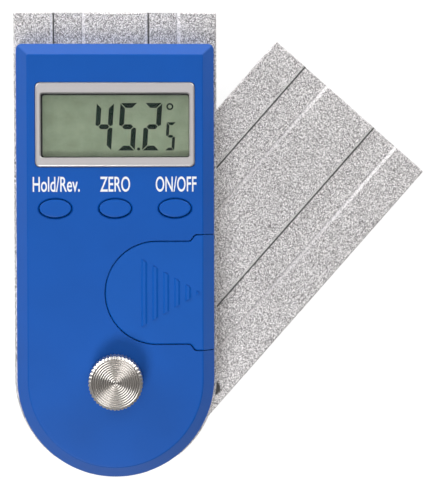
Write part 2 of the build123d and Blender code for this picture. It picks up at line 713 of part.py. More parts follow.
def display_bezel():
    """Silver frame that drops into the front, with its bars wider above and below the window."""
    frame = slab(
        RectangleRounded(BEZEL_WIDTH, BEZEL_HEIGHT, BEZEL_CORNER), BEZEL_BACK, FRONT + BEZEL_PROUD
    )
    frame = fillet(frame.faces().sort_by(Axis.Z)[-1].edges(), BEZEL_ROUND)
    width = BEZEL_WIDTH - 2 * BEZEL_SIDE_BAR
    height = BEZEL_HEIGHT - BEZEL_TOP_BAR - BEZEL_BOTTOM_BAR
    centre = (BEZEL_BOTTOM_BAR - BEZEL_TOP_BAR) / 2
    inside = Pos(0, centre) * RectangleRounded(width, height, BEZEL_INNER_CORNER)
    frame -= slab(inside, BEZEL_BACK - 1, FRONT + 1)
    rim = Pos(0, 0, FRONT + BEZEL_PROUD - BEZEL_CHAMFER) * inside
    frame -= extrude(rim, 2 * BEZEL_CHAMFER, taper=-45)
    return Pos(0, BEZEL_Y) * frame


def display_window():
    """Clear lens in the housing's opening, bonded to the bezel's back."""
    lens = Rectangle(OPENING_WIDTH - 2 * SEAT_CLEARANCE, OPENING_HEIGHT - 2 * SEAT_CLEARANCE)
    return Pos(0, BEZEL_Y) * slab(lens, BEZEL_BACK - WINDOW_THICKNESS, BEZEL_BACK)


def lcd_panel():
    """Display cell of two glass plates: the front one runs on below as the contact ledge."""
    front = slab(Rectangle(LCD_WIDTH, LCD_HEIGHT), LCD_STEP, LCD_FACE)
    rear = Rectangle(LCD_WIDTH, LCD_HEIGHT - CONTACT_LEDGE)
    return Pos(0, BEZEL_Y) * (front + slab(Pos(0, CONTACT_LEDGE / 2) * rear, LCD_BACK, LCD_STEP))


def display_holder():
    """Frame that stands on the board, with a rim round the cell and a slot for the connector."""
    rim = HOLDER_WALL + SEAT_CLEARANCE
    frame = slab(
        Rectangle(LCD_WIDTH + 2 * rim, LCD_HEIGHT + 2 * rim), BOARD_FACE, LCD_BACK + HOLDER_HOLD
    )
    pocket = Rectangle(LCD_WIDTH + 2 * SEAT_CLEARANCE, LCD_HEIGHT + 2 * SEAT_CLEARANCE)
    frame -= slab(pocket, LCD_BACK, LCD_FACE)
    low = 2 * HOLDER_LEDGE + CONTACT_LEDGE - LCD_HEIGHT / 2
    high = LCD_HEIGHT / 2 - HOLDER_LEDGE
    side = LCD_WIDTH / 2 - HOLDER_LEDGE
    frame -= block(-side, side, low, high, BOARD_FACE - 1, LCD_FACE)
    half = LCD_WIDTH / 2 - CONNECTOR_END + SEAT_CLEARANCE
    slot = CONNECTOR_THICKNESS / 2 + SEAT_CLEARANCE
    middle = (CONTACT_LEDGE - LCD_HEIGHT) / 2
    frame -= block(-half, half, middle - slot, middle + slot, BOARD_FACE - 1, LCD_FACE)
    return Pos(0, BEZEL_Y) * frame


def lcd_connector():
    """Elastomer strip from the board up to the cell's contact ledge."""
    half = LCD_WIDTH / 2 - CONNECTOR_END
    strip = Rectangle(2 * half, CONNECTOR_THICKNESS)
    centre = BEZEL_Y + (CONTACT_LEDGE - LCD_HEIGHT) / 2
    return Pos(0, centre) * slab(strip, BOARD_FACE, LCD_STEP)


def button(x):
    """Oval cap with a retaining flange below the front and a hollow over the pad's nub."""
    low = FRONT_INSIDE - SEAT_CLEARANCE - BUTTON_FLANGE_THICKNESS
    cap = slab(ellipse(BUTTON_LENGTH, BUTTON_WIDTH), low, FRONT + BUTTON_PROUD)
    cap = fillet(cap.faces().sort_by(Axis.Z)[-1].edges(), BUTTON_FILLET)
    flange = ellipse(BUTTON_LENGTH, BUTTON_WIDTH, BUTTON_FLANGE)
    cap += slab(flange, low, low + BUTTON_FLANGE_THICKNESS)
    hollow = ellipse(BUTTON_LENGTH, BUTTON_WIDTH, -BUTTON_SKIRT_WALL)
    cap -= slab(hollow, low - 1, low + BUTTON_HOLLOW)
    return Pos(x, BUTTON_Y) * cap


def button_pad():
    """Silicone sheet on the board with one nub for each button."""
    half = BUTTON_PITCH + BUTTON_LENGTH / 2 + PAD_BORDER
    width = BUTTON_WIDTH + 2 * PAD_BORDER
    pad = slab(RectangleRounded(2 * half, width, PAD_BORDER), BOARD_FACE, BOARD_FACE + PAD_THICKNESS)
    hollow_top = FRONT_INSIDE - SEAT_CLEARANCE - BUTTON_FLANGE_THICKNESS + BUTTON_HOLLOW
    top = hollow_top - BUTTON_TRAVEL - BUTTON_CLEARANCE / 2
    nub = ellipse(BUTTON_LENGTH, BUTTON_WIDTH, -BUTTON_SKIRT_WALL - BUTTON_CLEARANCE)
    for x in BUTTON_PLACES.values():
        pad += Pos(x, 0) * slab(nub, BOARD_FACE, top)
    return Pos(0, BUTTON_Y) * pad


def coin_cell():
    """Button cell: a can with a bevelled rim and the stepped cap below it."""
    top = CELL_BACK + CELL_THICKNESS
    step = CELL_BACK + CELL_CAP_HEIGHT
    cell = drum(CELL_RADIUS, step, top)
    cell = chamfer(cell.edges().sort_by(Axis.Z)[-1:], CELL_CAP_HEIGHT)
    cell += drum(CELL_RADIUS - CELL_CAP_STEP, CELL_BACK, step)
    return Pos(CELL_X, PIVOT_TO_CELL) * cell


def bent_strip(*points):
    """A sheet-metal strip from its side outline, centred across the cell's middle line."""
    outline = make_face(Plane.XZ * Polyline(*points, close=True))
    strip = extrude(outline, CONTACT_WIDTH, dir=(0, -1, 0))
    return Pos(CELL_X, PIVOT_TO_CELL + CONTACT_WIDTH / 2, 0) * strip


def negative_contact():
    """Leaf that rises from the board through the tray's floor to the cell's cap."""
    foot = CONTACT_FOOT
    low = BOARD_FACE
    high = CELL_BACK - CONTACT_THICKNESS
    return bent_strip(
        (-foot, low),
        (-foot / 2, low),
        (foot / 2, high),
        (foot, high),
        (foot, high + CONTACT_THICKNESS),
        (foot / 2 - CONTACT_THICKNESS / 2, high + CONTACT_THICKNESS),
        (-foot / 2 - CONTACT_THICKNESS / 2, low + CONTACT_THICKNESS),
        (-foot, low + CONTACT_THICKNESS),
    )


def positive_contact():
    """Upright leaf in the tray's wall, bent in to touch the cell's rim."""
    touch = -CELL_RADIUS - FIT_CLEARANCE
    back = touch - CONTACT_THICKNESS
    foot = touch - CONTACT_FOOT
    middle = CELL_BACK + CELL_THICKNESS / 2
    top = CELL_BACK + CELL_THICKNESS - CELL_CLEARANCE
    lean = CELL_CLEARANCE
    return bent_strip(
        (foot, BOARD_FACE),
        (touch - lean, BOARD_FACE),
        (touch, middle),
        (touch - lean, top),
        (back - lean, top),
        (back, middle),
        (back - lean, BOARD_FACE + CONTACT_THICKNESS),
        (foot, BOARD_FACE + CONTACT_THICKNESS),
    )


def circuit_board():
    """Board under the front, cut round the bosses and bored for the stud and its nut."""
    half = CAVITY_HALF - BOARD_CLEARANCE
    reach = HOUSING_REACH - HOUSING_WALL - BOARD_CLEARANCE
    corner = BOSS_FROM_SIDE - HOUSING_WALL - BOARD_CLEARANCE
    board = slab(housing_plan(half, reach, corner), BOARD_BACK, BOARD_FACE)
    board -= drum(BOARD_PIVOT_HOLE, BOARD_BACK - 1, BOARD_FACE + 1)
    for x, y in BOSS_PLACES:
        board -= drum(BOSS_RADIUS + BOARD_CLEARANCE, BOARD_BACK - 1, BOARD_FACE + 1, x, y)
    for x, y in POST_PLACES:
        hole = BOARD_SCREW_RADIUS + SCREW_HOLE_CLEARANCE
        board -= drum(hole, BOARD_BACK - 1, BOARD_FACE + 1, x, y)
    return board


def controller_chip():
    """The chip's epoxy drop, a low dome on the board."""
    dome_radius = (CHIP_RADIUS**2 + CHIP_HEIGHT**2) / (2 * CHIP_HEIGHT)
    dome = Pos(0, 0, BOARD_FACE + CHIP_HEIGHT - dome_radius) * Sphere(dome_radius)
    dome &= drum(CHIP_RADIUS, BOARD_FACE, BOARD_FACE + CHIP_HEIGHT + 1)
    return Pos(CHIP_FROM_EDGE - CAVITY_HALF, PIVOT_TO_CELL) * dome


def timing_crystal():
    """Crystal can lying on the board below the chip."""
    can = Rot(0, 90, 0) * Cylinder(CRYSTAL_RADIUS, CRYSTAL_LENGTH)
    y = PIVOT_TO_CELL - CHIP_RADIUS - 3 * CRYSTAL_RADIUS
    return Pos(CHIP_FROM_EDGE - CAVITY_HALF, y, BOARD_FACE + CRYSTAL_RADIUS) * can


def capacitors():
    """A row of chip capacitors above the chip."""
    body = slab(Rectangle(CAPACITOR_WIDTH, CAPACITOR_LENGTH), BOARD_FACE, BOARD_FACE + CAPACITOR_HEIGHT)
    x = CHIP_FROM_EDGE - CAVITY_HALF
    y = PIVOT_TO_CELL + CHIP_RADIUS + CAPACITOR_LENGTH
    middle = (CAPACITOR_COUNT - 1) / 2
    return [
        Pos(x + (number - middle) * CAPACITOR_PITCH, y) * body for number in range(CAPACITOR_COUNT)
    ]


def clamp_washer():
    """Washer in the housing's round recess, under the knob."""
    low = KNOB_BACK - WASHER_THICKNESS
    return ring(STUD_RADIUS + STUD_CLEARANCE, WASHER_RADIUS, low, KNOB_BACK)


def clamp_knob():
    """Knob with straight knurling, chamfered rims and a blind hole for the stud."""
    outer = KNOB_DIAMETER / 2
    teeth = []
    for number in range(2 * KNURL_TEETH):
        turn = pi * number / KNURL_TEETH
        radius = outer if number % 2 else outer - KNURL_DEPTH
        teeth.append((radius * cos(turn), radius * sin(turn)))
    body = slab(Polygon(*teeth, align=None), KNOB_BACK, KNOB_FACE)
    body &= turned(
        (0, KNOB_BACK),
        (outer - KNOB_CHAMFER, KNOB_BACK),
        (outer, KNOB_BACK + KNOB_CHAMFER),
        (outer, KNOB_FACE - KNOB_CHAMFER),
        (outer - KNOB_CHAMFER, KNOB_FACE),
        (0, KNOB_FACE),
    )
    bore_end = KNOB_FACE - STUD_END_GAP + KNOB_BORE_MARGIN
    return body - drum(STUD_RADIUS + RUNNING_CLEARANCE, KNOB_BACK - 1, bore_end)


def all_parts():
    """Every piece by its name. A list is a group of like pieces."""
    pieces = {
        "lower_blade": lower_blade(),
        "pivot_stud": pivot_stud(),
        "stud_screws": stud_screws(),
        "blade_magnets": blade_magnets(),
        "disc_spring": disc_spring(),
        "retaining_ring": retaining_ring(),
        "rotor_disc": rotor_disc(),
        "rotor_nut": rotor_nut(),
        "pivot_bush": pivot_bush(),
        "upper_blade": upper_blade(),
        "housing_screws": housing_screws(),
        "circuit_board": circuit_board(),
        "board_screws": board_screws(),
        "controller_chip": controller_chip(),
        "timing_crystal": timing_crystal(),
        "capacitors": capacitors(),
        "negative_contact": negative_contact(),
        "positive_contact": positive_contact(),
        "coin_cell": coin_cell(),
        "battery_cover": battery_cover(),
        "display_holder": display_holder(),
        "lcd_connector": lcd_connector(),
        "lcd_panel": lcd_panel(),
        "display_window": display_window(),
        "display_bezel": display_bezel(),
        "button_pad": button_pad(),
        "front_housing": front_housing(),
        "clamp_washer": clamp_washer(),
        "clamp_knob": clamp_knob(),
    }
    for name, x in BUTTON_PLACES.items():
        pieces[name] = button(x)
    return pieces


os.makedirs("parts", exist_ok=True)
for name, piece in all_parts().items():
    shape = Compound(children=list(piece)) if isinstance(piece, list) else piece
    export_step(shape, f"parts/{name}.step")
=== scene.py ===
from math import cos, pi, radians, sin, tan

import bmesh
import bpy
from mathutils import Matrix, Vector


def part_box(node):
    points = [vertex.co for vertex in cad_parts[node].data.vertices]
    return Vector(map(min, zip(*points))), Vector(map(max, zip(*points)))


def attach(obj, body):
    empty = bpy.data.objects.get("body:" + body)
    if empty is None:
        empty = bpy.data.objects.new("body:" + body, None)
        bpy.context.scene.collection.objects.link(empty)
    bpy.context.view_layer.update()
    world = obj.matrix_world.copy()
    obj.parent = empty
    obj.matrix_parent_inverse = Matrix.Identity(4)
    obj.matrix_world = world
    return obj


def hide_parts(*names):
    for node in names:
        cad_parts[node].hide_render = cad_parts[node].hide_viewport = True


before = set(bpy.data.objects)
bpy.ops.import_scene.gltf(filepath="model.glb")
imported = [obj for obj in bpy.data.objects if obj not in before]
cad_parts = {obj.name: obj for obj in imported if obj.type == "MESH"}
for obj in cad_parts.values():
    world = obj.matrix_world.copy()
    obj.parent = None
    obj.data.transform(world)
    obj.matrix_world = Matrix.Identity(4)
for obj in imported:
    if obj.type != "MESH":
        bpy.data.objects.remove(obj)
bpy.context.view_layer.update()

# A digital protractor lies on its back: two steel blades on one pivot, the upper one under a blue
# moulded housing with a display, three buttons, a battery cover and the clamp knob. The sections
# follow it from the lower blade up. Lengths are in metres.
MM = 0.001


# Lower blade
# A 50 mm wide bar of hardened steel, grit-blasted like fine salt and pepper. Two shallow channels
# are milled in its face; their sides carry a painted highlight and their feet painted shade. It
# turns about the pivot.
GRIT_SIZE = 0.15 * MM
FINE_GRIT_SIZE = 0.12 * MM
PATCH_SIZE = 14 * MM
GRIT_CONTRAST = 3.8
FINE_CONTRAST = 1.4
PATCH_CONTRAST = 0.12
STEEL_DARK = (0.19, 0.18, 0.18)
STEEL_LIGHT = (0.98, 0.95, 0.95)
CHANNEL_MIDDLE = 11.7 * MM
CHANNEL_HALF = 4.3 * MM
CHANNEL_DEPTH = 0.8 * MM
# Painted shade along the channels' feet, weaker at each channel's right.
FOOT_LINE = 0.20 * MM
FOOT_PAINTED_SHADE = (0.05, 0.05, 0.05)
FOOT_SHADE_STRENGTH = 0.92
RIGHT_FOOT_SHADE_WEAKER = 0.66
# How far the channels' sides are lightened: a painted highlight.
SIDE_PAINTED_HIGHLIGHT = 0.7
REST_OPENING = radians(41.5)


class Value:
    """The output of a shader node: a sum or product of values adds its own Math node."""

    def __init__(self, finish, socket):
        self.finish = finish
        self.socket = socket

    def math(self, operation, first, second):
        return self.finish.node("ShaderNodeMath", {"operation": operation}, {0: first, 1: second})

    def __add__(self, other):
        return self.math("ADD", self, other)

    def __radd__(self, other):
        return self.math("ADD", other, self)

    def __sub__(self, other):
        return self.math("SUBTRACT", self, other)

    def __rsub__(self, other):
        return self.math("SUBTRACT", other, self)

    def __mul__(self, other):
        return self.math("MULTIPLY", self, other)

    def __gt__(self, other):
        return self.math("GREATER_THAN", self, other)

    def __lt__(self, other):
        return self.math("LESS_THAN", self, other)


class Finish:
    """One surface finish, or the light of the surroundings, made from shader nodes."""

    def __init__(self, name, kind=bpy.data.materials):
        self.made = kind.new(name)
        self.made.use_nodes = True
        self.tree = self.made.node_tree
        self.tree.nodes.clear()

    def node(self, kind, settings=None, sockets=None, output=0):
        """Add a node, give it its settings, then the values or links of its sockets."""
        made = self.tree.nodes.new(kind)
        for name, setting in (settings or {}).items():
            setattr(made, name, setting)
        for name, given in (sockets or {}).items():
            if isinstance(given, Value):
                self.tree.links.new(given.socket, made.inputs[name])
            else:
                made.inputs[name].default_value = given
        return Value(self, made.outputs[output]) if made.outputs else None

    def place(self):
        """Where a point is, in metres."""
        return self.node("ShaderNodeTexCoord", output="Object")

    def along(self, point, direction):
        """How far a point lies along a direction."""
        return self.node("ShaderNodeVectorMath", {"operation": "DOT_PRODUCT"},
                         {0: point, 1: direction}, output="Value")

    def size(self, value):
        """A value without its sign."""
        return self.node("ShaderNodeMath", {"operation": "ABSOLUTE"}, {0: value})

    def noise(self, scale, detail=2.0):
        sockets = {"Vector": self.place(), "Scale": scale, "Detail": detail}
        return self.node("ShaderNodeTexNoise", None, sockets)

    def mix(self, first, second, share):
        """From the first colour to the second by share."""
        sockets = {0: share}
        for number, colour in ((6, first), (7, second)):
            sockets[number] = colour if isinstance(colour, Value) else (*colour, 1)
        return self.node("ShaderNodeMix", {"data_type": "RGBA"}, sockets, output=2)

    def surface(self, sockets, height=None, depth=0.0, strength=1.0):
        """Finish with one Principled shader, bumped by height over a depth in metres."""
        if height is not None:
            bump = {"Height": height, "Distance": depth, "Strength": strength}
            sockets = {**sockets, "Normal": self.node("ShaderNodeBump", None, bump)}
        shader = self.node("ShaderNodeBsdfPrincipled", None, sockets)
        self.node("ShaderNodeOutputMaterial", None, {"Surface": shader})
        return self.made


def blasted_steel(name, opening, face):
    """Satin steel with light specks and dark pits. In the face, the channels' sides are smoother
    and carry a painted highlight, and their feet carry painted shade, weaker at a channel's right.
    The blade opens by an angle from +Y."""
    steel = Finish(name)
    cells = steel.node("ShaderNodeTexVoronoi", None,
                       {"Vector": steel.place(), "Scale": 1 / GRIT_SIZE}, output="Color")
    fine = steel.noise(1 / FINE_GRIT_SIZE, 1.0)
    patch = steel.noise(1 / PATCH_SIZE)
    speck = ((cells - 0.5) * GRIT_CONTRAST + (fine - 0.5) * FINE_CONTRAST
             + (patch - 0.5) * PATCH_CONTRAST + 0.5)
    across = steel.along(steel.place(), (cos(opening), -sin(opening), 0))
    outwards = steel.size(across) - CHANNEL_MIDDLE
    offset = steel.size(outwards)
    near_face = steel.along(steel.place(), (0, 0, 1)) > face - CHANNEL_DEPTH - FOOT_LINE
    floor_half = CHANNEL_HALF - CHANNEL_DEPTH
    side = (offset > floor_half) * (offset < CHANNEL_HALF) * near_face
    foot_shade = (steel.size(offset - floor_half) < FOOT_LINE) * near_face
    right_side = outwards * across > 0
    # Painted highlight: the channels' sides are lightened.
    blasted_and_highlight = steel.mix(STEEL_DARK, STEEL_LIGHT, speck + side * SIDE_PAINTED_HIGHLIGHT)
    # Painted shade: the channels' feet are darkened, weaker at each channel's right.
    foot_shade_share = foot_shade * (FOOT_SHADE_STRENGTH - right_side * RIGHT_FOOT_SHADE_WEAKER)
    colour = steel.mix(blasted_and_highlight, FOOT_PAINTED_SHADE, foot_shade_share)
    sockets = {"Base Color": colour, "Metallic": 0.45 - side * 0.35,
               "Roughness": 0.58 - cells * 0.16 - side * 0.1}
    return steel.surface(sockets, cells + fine * 0.4, 0.03 * MM, 0.5)


def dress(finish, *names):
    """Give pieces of the frame their finish."""
    for name in names:
        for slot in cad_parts[name].material_slots:
            slot.material = finish


dress(blasted_steel("lower_blade_steel", REST_OPENING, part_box("lower_blade")[1].z), "lower_blade")


# Magnets, flange screws
# Two round magnets sit in pockets just below the blade's face, and three countersunk steel screws
# from its back hold the pivot's flange.
def sintered_magnet():
    """Dark, slightly grainy ground face."""
    dark = Finish("magnet")
    grain = dark.noise(1 / (0.25 * MM))
    colour = dark.mix((0.045, 0.045, 0.047), (0.11, 0.11, 0.112), grain)
    sockets = {"Base Color": colour, "Metallic": 0.5, "Roughness": 0.45 + grain * 0.2}
    return dark.surface(sockets, grain, 0.01 * MM, 0.4)


def screw_steel():
    """Zinc-plated steel with a faint mottle."""
    plated = Finish("screw_steel")
    mottle = plated.noise(1 / (1.1 * MM), 3.0)
    colour = plated.mix((0.42, 0.42, 0.44), (0.62, 0.62, 0.63), mottle)
    sockets = {"Base Color": colour, "Metallic": 1.0, "Roughness": 0.28 + mottle * 0.16}
    return plated.surface(sockets, mottle, 0.01 * MM, 0.3)


dress(sintered_magnet(), "blade_magnets")
PLATED = screw_steel()
dress(PLATED, "stud_screws", "disc_spring", "retaining_ring", "rotor_nut", "clamp_washer")


# Pivot
# The flange, hub and threaded stud are turned from one steel bar. The hub runs in a flanged bronze
# bush, held by a disc spring and a snap ring, and carries the sensor's rotor under a thin nut.
LATHE_PITCH = 0.12 * MM


def axis_distance(finish):
    """How far a point is from the pivot's axis."""
    flat = finish.node("ShaderNodeVectorMath", {"operation": "MULTIPLY"},
                       {0: finish.place(), 1: (1, 1, 0)})
    return finish.node("ShaderNodeVectorMath", {"operation": "LENGTH"}, {0: flat}, output="Value")


def turned_metal(name, dark, light, roughness):
    """Bright metal with the lathe tool's fine rings about the pivot's axis."""
    bar = Finish(name)
    turns = axis_distance(bar) * (2 * pi / LATHE_PITCH)
    rings = bar.node("ShaderNodeMath", {"operation": "SINE"}, {0: turns})
    mottle = bar.noise(1 / (1.6 * MM))
    colour = bar.mix(dark, light, mottle + rings * 0.15)
    sockets = {"Base Color": colour, "Metallic": 1.0, "Roughness": roughness + mottle * 0.1}
    return bar.surface(sockets, rings, 0.006 * MM, 0.35)


dress(turned_metal("turned_steel", (0.50, 0.49, 0.48), (0.64, 0.63, 0.62), 0.22), "pivot_stud")
dress(turned_metal("bronze", (0.52, 0.33, 0.13), (0.66, 0.44, 0.20), 0.28), "pivot_bush")


# Upper blade and its screws
# The same bar as the lower one, bored for the bush. Four screws from its back hold the housing.
dress(blasted_steel("upper_blade_steel", 0.0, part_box("upper_blade")[1].z), "upper_blade")
dress(PLATED, "housing_screws")


# Circuit board
# A green epoxy-glass board on four posts under the housing's front, with the chip under its
# epoxy drop, a crystal can, three chip capacitors and the two spring leaves of the battery.
TRACK_SPACING = 2.6 * MM
TRACK_HALF = 0.09


def solder_mask():
    """Green lacquer with the tracks showing through as lighter lines."""
    board = Finish("board")
    edge = board.node("ShaderNodeTexVoronoi", {"feature": "DISTANCE_TO_EDGE"},
                      {"Vector": board.place(), "Scale": 1 / TRACK_SPACING})
    between = edge > TRACK_HALF
    grain = board.noise(1 / (0.8 * MM))
    lacquer = board.mix((0.012, 0.10, 0.035), (0.018, 0.16, 0.06), grain)
    colour = board.mix((0.05, 0.27, 0.10), lacquer, between)
    sockets = {"Base Color": colour, "Roughness": 0.32 + grain * 0.1}
    return board.surface(sockets, 1 - between, 0.02 * MM, 0.5)


def shades(colour, spread):
    """The colour made darker and lighter by a share."""
    return [[channel * (1 + change) for channel in colour] for change in (-spread, spread)]


def plain_plastic(name, colour, roughness, spread=0.08, gloss=0.5):
    """Moulded plastic, rubber or ink in one colour, with a faint grain."""
    plastic = Finish(name)
    grain = plastic.noise(1 / (0.5 * MM))
    sockets = {"Base Color": plastic.mix(*shades(colour, spread), grain),
               "Roughness": roughness + grain * 0.08, "Specular IOR Level": gloss}
    return plastic.surface(sockets, grain, 0.01 * MM, 0.4)


dress(solder_mask(), "circuit_board", "rotor_disc")
dress(plain_plastic("epoxy", (0.02, 0.02, 0.021), 0.3), "controller_chip")
dress(plain_plastic("ceramic", (0.34, 0.25, 0.16), 0.45), "capacitors")
dress(PLATED, "board_screws", "timing_crystal", "negative_contact", "positive_contact")


# Coin cell
# A 20 mm lithium cell lies with its can up in the housing's tray. The can's face carries a
# stamped plus sign.
PLUS_LENGTH = 4.2 * MM
PLUS_WIDTH = 0.8 * MM
PLUS_RISE = 0.05 * MM


def add_piece(name, bm, body, finish, sharp_angle=30.0):
    """Turn finished mesh work into a piece that rides on a body."""
    bmesh.ops.recalc_face_normals(bm, faces=bm.faces)
    mesh = bpy.data.meshes.new(name)
    bm.to_mesh(mesh)
    bm.free()
    mesh.shade_smooth()
    mesh.set_sharp_from_angle(angle=radians(sharp_angle))
    mesh.materials.append(finish)
    piece = bpy.data.objects.new(name, mesh)
    bpy.context.scene.collection.objects.link(piece)
    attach(piece, body)
    return piece


def add_bar(bm, length, width, low, high, x, y):
    """A flat straight bar between two levels."""
    size = Matrix.Diagonal((length, width, high - low, 1))
    bmesh.ops.create_cube(bm, size=1, matrix=Matrix.Translation((x, y, (low + high) / 2)) @ size)


CELL_STEEL = turned_metal("cell_steel", (0.55, 0.55, 0.56), (0.66, 0.66, 0.67), 0.2)
dress(CELL_STEEL, "coin_cell")
cell_low, cell_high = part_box("coin_cell")
cell_centre = (cell_low + cell_high) / 2
plus = bmesh.new()
cell_face = cell_high.z - PLUS_RISE
add_bar(plus, PLUS_LENGTH, PLUS_WIDTH, cell_face, cell_high.z + PLUS_RISE, *cell_centre.xy)
add_bar(plus, PLUS_WIDTH, PLUS_LENGTH, cell_face, cell_high.z + PLUS_RISE, *cell_centre.xy)
add_piece("cell_plus_sign", plus, "housing", CELL_STEEL)


# Display
# A reflective liquid-crystal cell of two glass plates, in a white frame on the board, with a
# rubber connector strip below it. It shows an angle in dark seven-segment digits that lean over.
LCD_DARK = (0.265, 0.325, 0.225)
LCD_LIGHT = (0.345, 0.405, 0.29)
SEGMENT_THICKNESS = 0.02 * MM
DIGIT_LEAN = radians(3.8)
DIGIT_BASE = 55.72 * MM
DIGIT_HEIGHT = 11.52 * MM
DIGIT_WIDTH = 4.18 * MM
DIGIT_STROKE = 1.18 * MM
DIGIT_GAP = 0.15 * MM
SMALL_HEIGHT = 6.85 * MM
SMALL_WIDTH = 2.25 * MM
SMALL_STROKE = 0.70 * MM
SMALL_GAP = 0.08 * MM
SMALL_X = 12.10 * MM
READING = (("4", -5.16 * MM), ("5", 0.57 * MM), ("2", 6.54 * MM))
LIT_SEGMENTS = {
    "2": ("top", "upper_right", "middle", "lower_left", "bottom"),
    "4": ("upper_left", "upper_right", "middle", "lower_right"),
    "5": ("top", "upper_left", "middle", "lower_right", "bottom"),
}
POINT_PLACE = (5.70 * MM, 56.09 * MM)
POINT_SIZE = 0.76 * MM
DEGREE_PLACE = (13.31 * MM, 66.36 * MM)
DEGREE_RADIUS = 0.85 * MM
DEGREE_STROKE = 0.38 * MM


def segment_outline(segment, width, height, stroke, gap):
    """Corners of one mitred segment, in a digit whose lower left corner is at the origin."""
    half = height / 2
    tip = stroke / 2
    if segment == "bottom":
        return [(gap, 0), (width - gap, 0), (width - stroke - gap, stroke), (stroke + gap, stroke)]
    if segment == "middle":
        left, right = tip + gap, width - tip - gap
        return [(left, half), (left + tip, half - tip), (right - tip, half - tip),
                (right, half), (right - tip, half + tip), (left + tip, half + tip)]
    if segment == "lower_left":
        return [(0, gap), (stroke, stroke + gap), (stroke, half - tip - gap / 2),
                (tip, half - gap), (0, half - tip * 0.7)]
    if segment.endswith("right"):
        mirrored = segment_outline(segment.replace("right", "left"), width, height, stroke, gap)
        return [(width - x, y) for x, y in mirrored]
    lower = {"top": "bottom", "upper_left": "lower_left"}[segment]
    return [(x, height - y) for x, y in segment_outline(lower, width, height, stroke, gap)]


def add_flat(bm, outline):
    """A flat face from its corners."""
    bm.faces.new([bm.verts.new((x, y, 0)) for x, y in outline])


def thicken_flat(bm, thickness, level):
    """Give flat faces a thickness and lift them to a level."""
    made = bmesh.ops.extrude_face_region(bm, geom=bm.faces[:])
    raised = [part for part in made["geom"] if isinstance(part, bmesh.types.BMVert)]
    bmesh.ops.translate(bm, vec=(0, 0, thickness), verts=raised)
    bmesh.ops.translate(bm, vec=(0, 0, level), verts=bm.verts)


def add_digit(name, digit, x, width, height, stroke, gap):
    """One leaning digit on the display's face."""
    bm = bmesh.new()
    for segment in LIT_SEGMENTS[digit]:
        add_flat(bm, segment_outline(segment, width, height, stroke, gap))
    lean = Matrix.Identity(4)
    lean[0][1] = tan(DIGIT_LEAN)
    bmesh.ops.transform(bm, matrix=Matrix.Translation((x, DIGIT_BASE, 0)) @ lean, verts=bm.verts)
    thicken_flat(bm, SEGMENT_THICKNESS, lcd_face)
    return add_piece(name, bm, "housing", DIGIT_INK)


def reflective_lcd():
    """Greenish grey polariser, slightly mottled."""
    glass = Finish("lcd")
    cloud = glass.noise(1 / (3.5 * MM), 3.0)
    fine = glass.noise(1 / (0.5 * MM))
    colour = glass.mix(LCD_DARK, LCD_LIGHT, (cloud - 0.5) * 2.4 + (fine - 0.5) * 0.8 + 0.5)
    return glass.surface({"Base Color": colour, "Roughness": 0.42 + fine * 0.08,
                          "Specular IOR Level": 0.1})


dress(plain_plastic("holder_white", (0.72, 0.71, 0.68), 0.4, 0.04), "display_holder")
dress(plain_plastic("silicone", (0.05, 0.05, 0.052), 0.6), "lcd_connector", "button_pad")
dress(reflective_lcd(), "lcd_panel")
DIGIT_INK = plain_plastic("digit_ink", (0.007, 0.018, 0.013), 0.4, 0.2, gloss=0.05)
lcd_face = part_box("lcd_panel")[1].z
for digit, x in READING:
    add_digit(f"digit_{digit}", digit, x, DIGIT_WIDTH, DIGIT_HEIGHT, DIGIT_STROKE, DIGIT_GAP)
add_digit("small_digit_5", "5", SMALL_X, SMALL_WIDTH, SMALL_HEIGHT, SMALL_STROKE, SMALL_GAP)
signs = bmesh.new()
bmesh.ops.create_circle(signs, cap_ends=True, segments=16, radius=POINT_SIZE / 2,
                        matrix=Matrix.Translation((*POINT_PLACE, 0)))
ring = bmesh.ops.create_circle(signs, cap_ends=True, segments=40, radius=DEGREE_RADIUS,
                               matrix=Matrix.Translation((*DEGREE_PLACE, 0)))
disc = ring["verts"][0].link_faces[0]
disc.normal_update()
bmesh.ops.inset_region(signs, faces=[disc], thickness=DEGREE_STROKE, use_boundary=True,
                       use_even_offset=True)
bmesh.ops.delete(signs, geom=[disc], context="FACES")
thicken_flat(signs, SEGMENT_THICKNESS, lcd_face)
add_piece("point_and_degree_sign", signs, "housing", DIGIT_INK)


# Window
# A clear acrylic lens bonded behind the bezel, with a black border printed on its back.
BORDER_OUTER = (36.6 * MM, 18.4 * MM)
BORDER_LEFT = -17.56 * MM
BORDER_RIGHT = 17.92 * MM
BORDER_BOTTOM = 54.25 * MM
BORDER_TOP = 69.08 * MM
BORDER_CORNER = 0.5 * MM
BORDER_WIDTH = 1 * MM
BORDER_THICKNESS = 0.03 * MM
BORDER_DROP = 1.4 * BORDER_THICKNESS


def clear_acrylic():
    """Clear lens with a very faint haze."""
    lens = Finish("clear_lens")
    haze = lens.noise(1 / (4 * MM))
    sockets = {"Base Color": (0.985, 0.995, 0.985, 1), "Roughness": haze * 0.04,
               "Transmission Weight": 1.0, "IOR": 1.2}
    return lens.surface(sockets)


